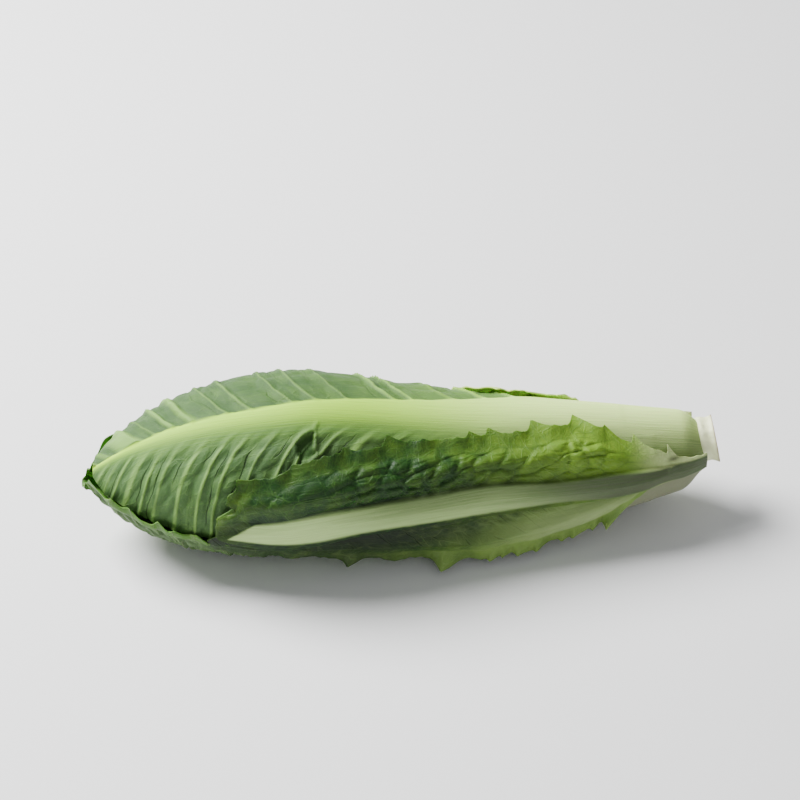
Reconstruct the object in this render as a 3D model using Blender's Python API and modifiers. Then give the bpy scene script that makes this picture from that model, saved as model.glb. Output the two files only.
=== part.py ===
"""A head of romaine lettuce lying on its side, as a stem and its separate leaves.

Units are metres and degrees. The head lies along X, with its leaf tips at -X and
the cut end of its stem at +X. Z is up, and z = 0 is the surface it rests on.

A place on a leaf is a share of the head's length (0 at the tips, 1 at the cut) and
a direction round the head's axis (0 front, 90 up, 180 back, 270 down). The leaves
are laid from the heart outwards. Each one follows its own form where there is room,
and bulges over what lies beneath it where there is none, a small gap away.
"""
import math

import bmesh
import bpy
import numpy as np
from mathutils import Vector

# Driving dimensions of the head.
HEAD_LENGTH = 0.300
HEAD_RADIUS = 0.0428
BELLY_SHARE = 0.35  # where along the head it is thickest
TAPER = [(0.35, 1.0), (0.5, 0.873), (0.6, 0.787), (0.7, 0.705), (0.8, 0.61), (0.9, 0.475),
         (0.96, 0.385), (1.0, 0.32)]  # its radius from there to the cut, as a share of the full one
NOSE_BLUNTNESS = (2.5, 0.80)
AXIS_Y = 0.0013  # the axis stands off the middle, because the loose leaves are in front

# The section is wider than tall, and pressed flat underneath by its own weight.
SECTION_WIDTH = 1.05
SECTION_HEIGHT = 0.955
PRESSED_HEIGHT = 0.84
PRESSED_FROM = (0.9, 0.55)  # shares where it starts to leave the round, and where it has left it
AXIS_HEIGHTS = [(0.0, 0.031), (0.1, 0.0330), (0.2, 0.0345), (0.3, 0.0356), (0.36, 0.0357),
                (0.5, 0.0322), (0.6, 0.0298), (0.7, 0.0288), (0.8, 0.0288), (1.0, 0.0330)]

# Thicknesses and spacing of the leaves.
LEAF_GAP = 0.0008
BLADE = 0.0008
MARGIN = 0.0006
RIDGE_SHARE = 0.45  # how much of a rib's extra thickness stands proud outside
FLARE_SPREAD = 40.0  # degrees over which a free edge comes away from the head

# The stem: a core with a neck where the outer leaves are attached.
STEM_TIP_SHARE = 0.67
STEM_BEND_SHARE = 0.76  # the stem points from the cut at the head's axis here
CUT_RADIUS = 0.0125
COLLAR_RADIUS = 0.0135
NECK_RADIUS = 0.0095
CORE_RADIUS = 0.0080
COLLAR_LENGTH = 0.0085
CUT_OVERHANG = 0.004  # what the cut takes off the end
CUT_TILT = 13.0  # how far the cut face is turned
CUT_TURN = 80.0  # the way it is turned: up from the front
CUTTER_SIZE = 0.06

# The leaf grid: all leaves share these cross-sections, so that they nest.
SECTION_COUNT = 22
FIRST_SECTION = 0.001
LAST_SECTION = 0.968
FITTING_ROUNDS = 12
COLUMN_CROWDING = 1.15  # above 1, a leaf's columns crowd towards its rib
SMALLEST_RADIUS = 0.0004
LEVEL = 0.05  # a direction that drops less than this never meets the surface below
DIRECTIONS = np.arange(0.0, 360.0, 1.0)
SHARP_ANGLE = 50.0

HEART_LEAVES = 12
INNER_LEAVES = 7
GOLDEN_ANGLE = 137.5

LEAF_ROUGHNESS = 0.55
STEM_ROUGHNESS = 0.60
OUTER_GREEN = (0.075, 0.175, 0.045)
LIGHT_GREEN = (0.250, 0.400, 0.110)
HEART_YELLOW = (0.620, 0.640, 0.300)
STEM_WHITE = (0.720, 0.740, 0.600)


def smooth_curve(knots):
    """A function whose curve runs smoothly through the knots, and is level beyond them."""
    xs, ys = (np.array(column, float) for column in zip(*knots))
    slopes = np.diff(ys) / np.diff(xs)
    tangents = np.concatenate(([slopes[0]], (slopes[1:] + slopes[:-1]) / 2, [slopes[-1]]))

    def value(x):
        x = np.clip(x, xs[0], xs[-1])
        i = np.clip(np.searchsorted(xs, x) - 1, 0, len(xs) - 2)
        width = xs[i + 1] - xs[i]
        t = (x - xs[i]) / width
        ends = (2 * t**3 - 3 * t**2 + 1) * ys[i] + (3 * t**2 - 2 * t**3) * ys[i + 1]
        bends = (t**3 - 2 * t**2 + t) * tangents[i] + (t**3 - t**2) * tangents[i + 1]
        return ends + width * bends

    return value


def smooth_step(low, high, x):
    """Rises smoothly from 0 at low to 1 at high."""
    t = np.clip((x - low) / (high - low), 0.0, 1.0)
    return t * t * (3 - 2 * t)


axis_height = smooth_curve(AXIS_HEIGHTS)
taper = smooth_curve(TAPER)


def head_radius(share):
    """The outline of the whole head: a blunt nose, a belly and a long taper to the base."""
    nose = np.clip(1 - share / BELLY_SHARE, 0.0, 1.0)
    point, curve = NOSE_BLUNTNESS
    return HEAD_RADIUS * (1 - nose**point) ** curve * taper(share)


def section_vector(share, direction):
    """Y and Z that a radius of 1 reaches in a direction. The base of the head is round."""
    angle = np.radians(direction)
    out, up = -np.cos(angle), np.sin(angle)
    round_share, pressed_share = PRESSED_FROM
    lying = np.clip((round_share - share) / (round_share - pressed_share), 0.0, 1.0)
    pressed = np.maximum(up * SECTION_HEIGHT, -PRESSED_HEIGHT)
    return out * (1 + (SECTION_WIDTH - 1) * lying), up + (pressed - up) * lying


def place(share, direction, radius):
    """The point at a share of the length, a direction and a radius from the axis."""
    out, up = section_vector(share, direction)
    x = (share - 0.5) * HEAD_LENGTH
    return x, AXIS_Y + radius * out, axis_height(share) + radius * up


def section_shares():
    """The cross-sections, closer together at the tip and at the base."""
    turn = np.linspace(0.0, np.pi, SECTION_COUNT)
    return FIRST_SECTION + (LAST_SECTION - FIRST_SECTION) * (1 - np.cos(turn)) / 2


def straight_radius(share, directions, start, end):
    """The radius, in some directions, of the straight line between two (direction, radius)."""
    (y1, z1), (y2, z2) = (
        np.array(section_vector(share, direction)) * radius for direction, radius in (start, end))
    y, z = section_vector(share, directions)
    return (y1 * (z2 - z1) - z1 * (y2 - y1)) / (y * (z2 - z1) - z * (y2 - y1))


class Pile:
    """The outside of all the leaves laid so far: a radius at each section and direction."""

    def __init__(self, shares):
        self.shares = shares
        self.radius = np.zeros((len(shares), len(DIRECTIONS)))

    def between(self, row, start, end):
        """The whole degrees between two directions, and the pile's top within 2 degrees of each."""
        directions = np.arange(math.ceil(start), math.floor(end) + 1)
        nearby = [self.radius[row, (directions + shift) % 360] for shift in (-2, -1, 0, 1, 2)]
        return directions, np.max(nearby, axis=0)

    def fit_outside(self, row, directions, radii):
        """Raises the radii at one section until the straight lines between them clear the pile."""
        radii = radii.copy()
        for _ in range(FITTING_ROUNDS):
            for i in range(len(radii) - 1):
                inside, heights = self.between(row, directions[i], directions[i + 1])
                if not len(inside):
                    continue
                start, end = (directions[i], radii[i]), (directions[i + 1], radii[i + 1])
                line = straight_radius(self.shares[row], inside, start, end)
                shortfall = heights + LEAF_GAP - line
                worst = shortfall.argmax()
                part = (inside[worst] - directions[i]) / (directions[i + 1] - directions[i])
                lift = np.array([1 - part, part]) / ((1 - part) ** 2 + part**2)
                radii[i:i + 2] += lift * max(0.0, shortfall[worst])
        return radii

    def cover(self, row, directions, radii):
        """Adds a leaf's outer side to the pile at one section."""
        for i in range(len(radii) - 1):
            inside, _ = self.between(row, directions[i], directions[i + 1])
            start, end = (directions[i], radii[i]), (directions[i + 1], radii[i + 1])
            line = straight_radius(self.shares[row], inside, start, end)
            self.raise_to(row, inside, line)

    def cover_beside(self, row, start, end, radius):
        """Keeps the directions free that a slanting edge passes on its way to the next section."""
        self.raise_to(row, np.arange(math.floor(start) - 1, math.ceil(end) + 2), radius)

    def raise_to(self, row, directions, radii):
        columns = directions % 360
        self.radius[row, columns] = np.maximum(self.radius[row, columns], radii)


class Leaf:
    """One leaf: where its rib and its two edges run, how full it lies and how thick it is."""

    def __init__(self, name, colour, span, low, rib, high, fullness, rib_size, columns, flare=None):
        self.name = name
        self.colour = colour
        self.span = span  # shares of the length at its tip and its base
        self.low, self.rib, self.high = (smooth_curve(knots) for knots in (low, rib, high))
        self.fullness = fullness  # share of the head's radius that its outside aims at
        self.rib_thickness, self.rib_width = rib_size  # at its base
        self.columns = columns  # on the low and the high side of its rib
        self.flare = smooth_curve(flare) if flare else None  # how far its low edge stands off

    def rows(self, shares):
        """The sections that the leaf runs through."""
        tip, base = (int(np.argmin(abs(shares - share))) for share in self.span)
        return range(tip, base + 1)

    def directions(self, share):
        """From the low edge over the rib to the high edge, closer together at the rib."""
        low_count, high_count = self.columns
        spread_low = (np.arange(low_count, 0, -1) / low_count) ** COLUMN_CROWDING
        spread_high = (np.arange(0, high_count + 1) / high_count) ** COLUMN_CROWDING
        low, rib, high = self.low(share), self.rib(share), self.high(share)
        return np.concatenate((rib - (rib - low) * spread_low, rib + (high - rib) * spread_high))

    def thickness(self, share, directions):
        """Thick at the rib, thin in the blade, and thinner towards the tip."""
        tip, base = self.span
        grown = np.clip((share - tip) / (base - tip), 0.0, 1.0)
        base_end = smooth_step(0.0, 0.07, base - share)
        rib_width = self.rib_width * (0.18 + 0.82 * grown**0.8)
        rib_thickness = self.rib_thickness * (0.12 + 0.88 * grown) * (0.45 + 0.55 * base_end)
        offset = np.radians(directions - self.rib(share)) * head_radius(share) * self.fullness
        blade = np.where(offset == offset.min(), MARGIN, BLADE)
        blade[-1] = MARGIN
        return blade + rib_thickness * np.exp(-((offset / (0.5 * rib_width)) ** 2))

    def lay(self, pile):
        """Lays the leaf on the pile. Gives its shape as rows of (share, directions, inside, outside)."""
        laid = list(self.rows(pile.shares))
        shares = pile.shares[laid]
        fans = np.array([self.directions(share) for share in shares])
        slants = abs(np.diff(fans, axis=0, prepend=fans[:1]))
        slants = np.maximum(slants, np.roll(slants, -1, axis=0))
        rows = []
        for row, share, directions, slant in zip(laid, shares, fans, slants):
            thickness = self.thickness(share, directions)
            aim = head_radius(share) * self.fullness + RIDGE_SHARE * (thickness - BLADE)
            if self.flare:
                aim = aim + self.flare(share) * self.flared(share, directions)
            aim = self.pressed(share, directions, aim)
            inside = pile.fit_outside(row, directions, np.maximum(aim - thickness, SMALLEST_RADIUS))
            inside *= 2 - np.cos(np.radians(slant / 2))  # a slanting line cuts the corner
            rows.append((share, directions, inside, self.pressed(share, directions, inside + thickness)))
        self.cover_pile(pile, laid, fans, rows)
        return rows

    def cover_pile(self, pile, laid, fans, rows):
        """Adds the leaf to the pile, with the room that its slanting edges need."""
        for i, (row, directions) in enumerate(zip(laid, fans)):
            outside = rows[i][3]
            near = fans[max(i - 1, 0):i + 2]
            pile.cover(row, directions, outside)
            pile.cover_beside(row, near[:, 0].min(), directions[0], outside[0])
            pile.cover_beside(row, directions[-1], near[:, -1].max(), outside[-1])

    def flared(self, share, directions):
        """How far each direction is out on the free edge."""
        return np.clip((self.rib(share) - directions) / FLARE_SPREAD, 0.0, 1.0)

    def pressed(self, share, directions, outside):
        """Keeps the outside of a leaf from going below the surface that the head rests on."""
        up = section_vector(share, directions)[1]
        limit = np.where(up < -LEVEL, axis_height(share) / np.maximum(-up, LEVEL), np.inf)
        return np.minimum(outside, limit)


def heart_and_inner_leaves():
    """The hidden leaves, set round the stem at the golden angle, small ones innermost."""
    count = HEART_LEAVES + INNER_LEAVES
    leaves = []
    for i in range(count):
        grown = i / (count - 1)
        span = (0.30 - 0.24 * grown, 0.69 + 0.19 * grown)
        fullness = 0.22 + 0.57 * grown
        rib = 40.0 + GOLDEN_ANGLE * i
        half_width = 0.018 + 0.037 * grown
        edges = hidden_outline(span, half_width, fullness)
        low, high = ([(share, rib + side * angle) for share, angle in edges] for side in (-1, 1))
        kind, number = ("heart", i) if i < HEART_LEAVES else ("inner", i - HEART_LEAVES)
        colour = [a + (b - a) * grown**1.5 for a, b in zip(HEART_YELLOW, LIGHT_GREEN)]
        leaves.append(Leaf(
            f"{kind}_leaf_{number + 1:02d}", colour, span, low, [(0, rib), (1, rib)], high,
            fullness, (0.0012 + 0.0014 * grown, 0.008 + 0.010 * grown), (5, 5)))
    return leaves


def hidden_outline(span, half_width, fullness):
    """A leaf's half width as angles: a narrow stalk, a broad blade and a rounded tip."""
    tip, base = span
    outline = []
    for part in (0.0, 0.05, 0.15, 0.35, 0.6, 0.8, 1.0):
        share = tip + part * (base - tip)
        round_tip = min(1.0, part / 0.35)
        width = half_width * math.sqrt(1 - (1 - round_tip) ** 2 * 0.85)
        width *= 1 - 0.62 * float(smooth_step(0.35, 0.95, part))
        angle = math.degrees(width / (head_radius(share) * fullness + 0.001))
        outline.append((share, min(angle, 95.0)))
    return outline


def back_lower_leaf():
    return Leaf(
        "back_lower_leaf", OUTER_GREEN, (0.05, 0.93),
        low=[(0.05, 190), (0.2, 170), (0.5, 172), (0.75, 200), (0.93, 208)],
        rib=[(0, 238), (1, 238)],
        high=[(0.05, 275), (0.2, 300), (0.5, 300), (0.75, 285), (0.93, 280)],
        fullness=0.88, rib_size=(0.0024, 0.020), columns=(5, 5))


def top_leaf():
    return Leaf(
        "top_leaf", OUTER_GREEN, (0.012, LAST_SECTION),
        low=[(0.01, 20), (0.04, 10), (0.09, -3), (0.175, -14), (0.45, -12), (0.7, 8), (0.96, 14)],
        rib=[(0.02, 84), (0.08, 77), (0.78, 76), (0.96, 68)],
        high=[(0.01, 140), (0.09, 158), (0.2, 168), (0.45, 160), (0.6, 134), (0.75, 126), (0.96, 128)],
        fullness=0.985, rib_size=(0.0052, 0.034), columns=(7, 7))


def far_leaf():
    return Leaf(
        "far_leaf", LIGHT_GREEN, (0.09, 0.955),
        low=[(0.09, 160), (0.3, 150), (0.55, 138), (0.62, 128), (0.78, 127), (0.86, 136), (0.955, 138)],
        rib=[(0, 186), (1, 180)],
        high=[(0.09, 200), (0.3, 226), (0.55, 224), (0.8, 206), (0.955, 200)],
        fullness=0.995, rib_size=(0.0042, 0.026), columns=(5, 5))


def bottom_leaf():
    return Leaf(
        "bottom_leaf", OUTER_GREEN, (FIRST_SECTION, LAST_SECTION),
        low=[(0.004, 200), (0.1, 206), (0.35, 206), (0.6, 222), (0.85, 246), (0.96, 236)],
        rib=[(0.02, 284), (0.5, 284), (0.8, 296), (0.96, 306)],
        high=[(0.004, 378), (0.05, 368), (0.09, 358), (0.18, 347), (0.4, 338), (0.7, 344),
              (0.85, 358), (0.96, 368)],
        fullness=1.03, rib_size=(0.0036, 0.024), columns=(7, 7))


def lower_leaf():
    return Leaf(
        "lower_leaf", LIGHT_GREEN, (0.19, 0.885),
        low=[(0.19, -20), (0.27, -34), (0.5, -48), (0.78, -52), (0.885, -30)],
        rib=[(0.19, -13), (0.4, -26), (0.55, -30), (0.73, -25), (0.885, -8)],
        high=[(0.19, -6), (0.3, 2), (0.5, 9), (0.885, 10)],
        fullness=1.02, rib_size=(0.0022, 0.014), columns=(4, 5),
        flare=[(0.19, 0.001), (0.35, 0.003), (0.5, 0.012), (0.72, 0.013), (0.885, 0.006)])


def front_leaf():
    return Leaf(
        "front_leaf", OUTER_GREEN, (0.2, 0.935),
        low=[(0.2, -11), (0.31, -15), (0.42, -9), (0.6, 0), (0.8, 1), (0.935, 8)],
        rib=[(0.2, -3), (0.31, -1), (0.42, 5), (0.6, 13), (0.935, 15)],
        high=[(0.2, 6), (0.24, 34), (0.35, 42), (0.47, 58), (0.6, 62), (0.75, 77), (0.81, 71),
              (0.86, 50), (0.935, 24)],
        fullness=1.05, rib_size=(0.0030, 0.018), columns=(3, 7))


def leaf_material(name, colour, roughness=LEAF_ROUGHNESS):
    material = bpy.data.materials.new(name)
    material.use_nodes = True
    shader = material.node_tree.nodes["Principled BSDF"]
    shader.inputs["Base Color"].default_value = (*colour, 1.0)
    shader.inputs["Roughness"].default_value = roughness
    shader.inputs["Metallic"].default_value = 0.0
    return material


def leaf_mesh(name, rows):
    """A closed shell: a grid laid on the leaf's inner side and extruded to its outer side."""
    row_count, column_count = len(rows), len(rows[0][1])
    bm = bmesh.new()
    bmesh.ops.create_grid(bm, x_segments=column_count - 1, y_segments=row_count - 1, size=1.0)
    inner = list(bm.verts)
    extruded = bmesh.ops.extrude_face_region(bm, geom=bm.faces[:], use_keep_orig=True)
    outer = [part for part in extruded["geom"] if isinstance(part, bmesh.types.BMVert)]
    for side, vertices in ((2, inner), (3, outer)):
        for vertex in vertices:
            column = round((vertex.co.x + 1) / 2 * (column_count - 1))
            row = rows[round((vertex.co.y + 1) / 2 * (row_count - 1))]
            vertex.co = place(row[0], row[1][column], row[side][column])
    bmesh.ops.triangulate(bm, faces=bm.faces[:], quad_method="SHORT_EDGE")
    bmesh.ops.recalc_face_normals(bm, faces=bm.faces[:])
    mesh = bpy.data.meshes.new(name)
    bm.to_mesh(mesh)
    bm.free()
    mesh.shade_smooth()
    mesh.set_sharp_from_angle(angle=math.radians(SHARP_ANGLE))
    return mesh


def stem_profile():
    """Distance from the cut end, and radius, from the cut face to the tip of the core."""
    length = (1 - STEM_TIP_SHARE) * HEAD_LENGTH
    return [
        (-CUT_OVERHANG, 0.0), (-CUT_OVERHANG, CUT_RADIUS),
        (0.55 * COLLAR_LENGTH, COLLAR_RADIUS), (0.9 * COLLAR_LENGTH, COLLAR_RADIUS - 0.0007),
        (1.1 * COLLAR_LENGTH, NECK_RADIUS), (0.45 * length, NECK_RADIUS),
        (0.72 * length, CORE_RADIUS), (0.88 * length, 0.65 * CORE_RADIUS),
        (0.97 * length, 0.3 * CORE_RADIUS), (length, 0.0)]


def stem_radius(share):
    """The radius of the stem at a share of the head's length."""
    distances, radii = zip(*stem_profile())
    return np.interp((1 - share) * HEAD_LENGTH, distances, radii, right=0.0)


def make_stem(parts, cutters):
    """A turned core, cut off askew."""
    mesh = bpy.data.meshes.new("stem")
    points = [(radius, 0.0, -distance) for distance, radius in stem_profile()]
    mesh.from_pydata(points, [(i, i + 1) for i in range(len(points) - 1)], [])
    stem = bpy.data.objects.new("stem", mesh)
    parts.objects.link(stem)
    stem.location = (HEAD_LENGTH / 2, AXIS_Y, float(axis_height(1.0)))
    rise = float(axis_height(1.0) - axis_height(STEM_BEND_SHARE))
    run = (1 - STEM_BEND_SHARE) * HEAD_LENGTH
    stem.rotation_euler = (0.0, math.pi / 2 - math.atan2(rise, run), 0.0)
    turn = stem.modifiers.new("turn", "SCREW")
    turn.steps = turn.render_steps = 20
    turn.use_merge_vertices = True
    turn.merge_threshold = 0.00001
    turn.use_smooth_shade = True
    cut = stem.modifiers.new("cut", "BOOLEAN")
    cut.operation = "DIFFERENCE"
    cut.object = make_stem_cut(cutters)
    mesh.materials.append(leaf_material("stem_white", STEM_WHITE, STEM_ROUGHNESS))
    return stem


def make_stem_cut(cutters):
    """A block whose one face is the face of the cut."""
    bpy.ops.mesh.primitive_cube_add(size=CUTTER_SIZE)
    cutter = bpy.context.active_object
    cutter.name = "stem_cut"
    tilt = math.radians(CUT_TILT)
    out, up = -math.cos(math.radians(CUT_TURN)), math.sin(math.radians(CUT_TURN))
    normal = Vector((math.cos(tilt), out * math.sin(tilt), up * math.sin(tilt)))
    cutter.rotation_euler = normal.to_track_quat("X", "Z").to_euler()
    middle = Vector((HEAD_LENGTH / 2 - COLLAR_RADIUS * math.sin(tilt), AXIS_Y, axis_height(1.0)))
    cutter.location = middle + normal * CUTTER_SIZE / 2
    cutter.hide_render = True
    cutter.display_type = "WIRE"
    cutter.users_collection[0].objects.unlink(cutter)
    cutters.objects.link(cutter)
    return cutter


def main():
    for old in list(bpy.data.objects):
        bpy.data.objects.remove(old)
    parts = bpy.data.collections.new("romaine_lettuce_head")
    cutters = bpy.data.collections.new("cutters")
    for collection in (parts, cutters):
        bpy.context.scene.collection.children.link(collection)

    head = bpy.data.objects.new("head", None)
    parts.objects.link(head)
    stem = make_stem(parts, cutters)
    stem.parent = head
    pile = Pile(section_shares())
    pile.radius += stem_radius(pile.shares)[:, None]

    outer = [back_lower_leaf(), top_leaf(), far_leaf(), bottom_leaf(), lower_leaf(), front_leaf()]
    for leaf in heart_and_inner_leaves() + outer:
        mesh = leaf_mesh(leaf.name, leaf.lay(pile))
        mesh.materials.append(leaf_material(leaf.name, leaf.colour))
        piece = bpy.data.objects.new(leaf.name, mesh)
        parts.objects.link(piece)
        piece.parent = head


if __name__ == "__main__":
    main()
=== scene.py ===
"""The looks of a head of romaine lettuce that lies on its side.

Units are metres and degrees, in the CAD model's frame: leaf tips at -X, the cut stem at +X,
the loose leaves in front at -Y, and z = 0 is the surface.

A place on a leaf is a share of the head's length (0 at the tips, 1 at the cut) and a
direction round the head's axis (0 front, 90 up, 180 back, 270 down). Each visible leaf is a
closed sheet of fine mesh, laid over what lies beneath it, from the heart outwards.
"""

import math

import bpy
import numpy as np
from mathutils import Matrix, Vector
from mathutils.bvhtree import BVHTree


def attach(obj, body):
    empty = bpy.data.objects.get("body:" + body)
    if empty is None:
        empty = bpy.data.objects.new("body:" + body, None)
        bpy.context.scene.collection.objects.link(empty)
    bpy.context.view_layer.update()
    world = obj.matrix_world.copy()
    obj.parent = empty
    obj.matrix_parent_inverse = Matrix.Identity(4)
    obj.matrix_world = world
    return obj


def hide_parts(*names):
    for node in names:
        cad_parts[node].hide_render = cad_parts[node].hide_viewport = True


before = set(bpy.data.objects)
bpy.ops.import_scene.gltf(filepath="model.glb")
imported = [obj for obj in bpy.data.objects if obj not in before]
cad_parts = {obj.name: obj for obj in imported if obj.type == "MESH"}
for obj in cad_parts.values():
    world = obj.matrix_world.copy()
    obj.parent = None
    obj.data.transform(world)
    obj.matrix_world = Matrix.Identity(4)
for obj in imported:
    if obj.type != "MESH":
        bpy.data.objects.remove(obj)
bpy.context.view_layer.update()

# The head, as in the CAD model.
HEAD_LENGTH = 0.3
HEAD_RADIUS = 0.0428
BELLY_SHARE = 0.35
NOSE_BLUNTNESS = (2.5, 0.8)
TAPER = [(0.25, 1.0), (0.35, 1.0), (0.5, 0.873), (0.6, 0.787), (0.7, 0.705), (0.8, 0.61),
         (0.9, 0.475), (0.96, 0.385), (1.0, 0.32)]
AXIS_Y = 0.0013
SECTION_WIDTH = 1.05
SECTION_HEIGHT = 0.955
PRESSED_HEIGHT = 0.84
PRESSED_FROM = (0.9, 0.55)
AXIS_HEIGHTS = [(0.0, 0.031), (0.1, 0.033), (0.2, 0.0345), (0.3, 0.0356), (0.36, 0.0357),
                (0.5, 0.0322), (0.6, 0.0298), (0.7, 0.0288), (0.8, 0.0288), (1.0, 0.033)]

# The fine mesh: all leaves share these cross-sections.
ROW_COUNT = 330
ROW_CROWDING = 1.2  # above 1, the sections crowd towards the leaf tips
FIRST_SHARE = 0.0012
LAST_SHARE = 0.972
DIRECTION_STEP = 0.5
DIRECTIONS = np.arange(0.0, 360.0, DIRECTION_STEP)
FAR = 0.09  # further from the axis than any leaf

# A leaf's sheet and its edges.
SHEET = 0.0007
SHEET_GAP = 0.00035
SETTLING = 0.0012  # how softly a leaf comes to lie on those beneath it
TIP_WIDTH = 0.06  # as a share of the full width
BASE_DRAWN_IN = 0.34  # how much nearer to the axis a leaf's base ends
BASE_LENGTH = 0.045  # the share of the head over which it draws in
TEETH_START = 0.75  # how far out from the rib the teeth begin to show
TOOTH_LEAN = 0.35

# Ribs and side veins.
RIB_PROUD = 0.45  # how much of a rib's extra thickness stands out on the outside
VEIN_HALF_WIDTH = 0.0013
VEIN_WANDER = 0.45  # of the room between two veins
VEIN_WOBBLE = 0.0012
CREASE_OFF = 0.0024  # from its vein
CREASE_HALF_WIDTH = 0.001

# The torn hole in the top leaf.
TEAR_SHARE = 0.346
TEAR_DIRECTION = 51
TEAR_SLANT = 260  # degrees that it turns over a whole head's length
TEAR_HALF_LENGTH = 0.0036
TEAR_HALF_TURN = 7.0

REPLACED = ["stem", "back_lower_leaf", "top_leaf", "far_leaf", "bottom_leaf", "lower_leaf", "front_leaf"]


# --- Curves, noise and the head's form ---

def smooth_curve(knots):
    """A function whose curve runs smoothly through the knots, and is level beyond them."""
    xs, ys = (np.array(column, float) for column in zip(*knots))
    slopes = np.diff(ys) / np.diff(xs)
    tangents = np.concatenate(([slopes[0]], (slopes[1:] + slopes[:-1]) / 2, [slopes[-1]]))

    def value(x):
        x = np.clip(x, xs[0], xs[-1])
        i = np.clip(np.searchsorted(xs, x) - 1, 0, len(xs) - 2)
        width = xs[i + 1] - xs[i]
        t = (x - xs[i]) / width
        ends = (2 * t**3 - 3 * t**2 + 1) * ys[i] + (3 * t**2 - 2 * t**3) * ys[i + 1]
        bends = (t**3 - 2 * t**2 + t) * tangents[i] + (t**3 - t**2) * tangents[i + 1]
        return ends + width * bends

    return value


def ramp(low, high, x):
    """Rises smoothly from 0 at low to 1 at high."""
    t = np.clip((x - low) / (high - low), 0.0, 1.0)
    return t * t * (3 - 2 * t)


def hump(x, half_width):
    """A smooth hump: 1 where x is 0."""
    return np.exp(-((x / half_width) ** 2))


def scatter(i, j, seed):
    """A repeatable random number from 0 to 1 for each pair of whole numbers."""
    mixed = (i * 374761393 + j * 668265263 + seed * 974634777) & 0xFFFFFFFF
    mixed = ((mixed ^ (mixed >> 13)) * 1274126177) & 0xFFFFFFFF
    return ((mixed ^ (mixed >> 16)) & 0xFFFF) / 65535.0


def noise(x, y, seed):
    """Smooth noise from -1 to 1, with features about one unit across."""
    i, j = np.floor(x).astype(np.int64), np.floor(y).astype(np.int64)
    tx, ty = ramp(0, 1, x - i), ramp(0, 1, y - j)
    bottom = scatter(i, j, seed) * (1 - tx) + scatter(i + 1, j, seed) * tx
    top = scatter(i, j + 1, seed) * (1 - tx) + scatter(i + 1, j + 1, seed) * tx
    return 2 * (bottom * (1 - ty) + top * ty) - 1


def rough(x, y, seed):
    """Noise with finer noise on it."""
    return 0.6 * noise(x, y, seed) + 0.3 * noise(2.1 * x, 2.1 * y, seed + 7) \
        + 0.15 * noise(4.3 * x, 4.3 * y, seed + 19)


def cells(x, y, seed):
    """Cells round scattered points: how far in from the border of its cell each place lies."""
    i, j = np.floor(x).astype(np.int64), np.floor(y).astype(np.int64)
    nearest = np.full(x.shape, 9.0)
    second = np.full(x.shape, 9.0)
    for di in (-1, 0, 1):
        for dj in (-1, 0, 1):
            ci, cj = i + di, j + dj
            dx = ci + 0.15 + 0.7 * scatter(ci, cj, seed) - x
            dy = cj + 0.15 + 0.7 * scatter(ci, cj, seed + 3) - y
            distance = np.hypot(dx, dy)
            second = np.where(distance < nearest, nearest, np.minimum(second, distance))
            nearest = np.minimum(nearest, distance)
    return second - nearest


axis_height = smooth_curve(AXIS_HEIGHTS)
taper = smooth_curve(TAPER)


def head_radius(share):
    """The outline of the whole head: a blunt nose, a belly and a long taper to the base."""
    nose = np.clip(1 - share / BELLY_SHARE, 0.0, 1.0)
    point, curve = NOSE_BLUNTNESS
    return HEAD_RADIUS * (1 - nose**point) ** curve * taper(share)


def section_vector(share, direction):
    """Y and Z that a radius of 1 reaches in a direction. The base of the head is round."""
    angle = np.radians(direction)
    out, up = -np.cos(angle), np.sin(angle)
    round_share, pressed_share = PRESSED_FROM
    lying = np.clip((round_share - share) / (round_share - pressed_share), 0.0, 1.0)
    pressed = np.maximum(up * SECTION_HEIGHT, -PRESSED_HEIGHT)
    return out * (1 + (SECTION_WIDTH - 1) * lying), up + (pressed - up) * lying


def place(share, direction, radius):
    """The points at shares of the length, directions and radii from the axis."""
    out, up = section_vector(share, direction)
    x = (share - 0.5) * HEAD_LENGTH + 0 * radius
    return np.stack([x, AXIS_Y + radius * out, axis_height(share) + radius * up], axis=-1)


SHARES = FIRST_SHARE + (LAST_SHARE - FIRST_SHARE) * np.linspace(0, 1, ROW_COUNT) ** ROW_CROWDING


# --- The pile of leaves ---

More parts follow.
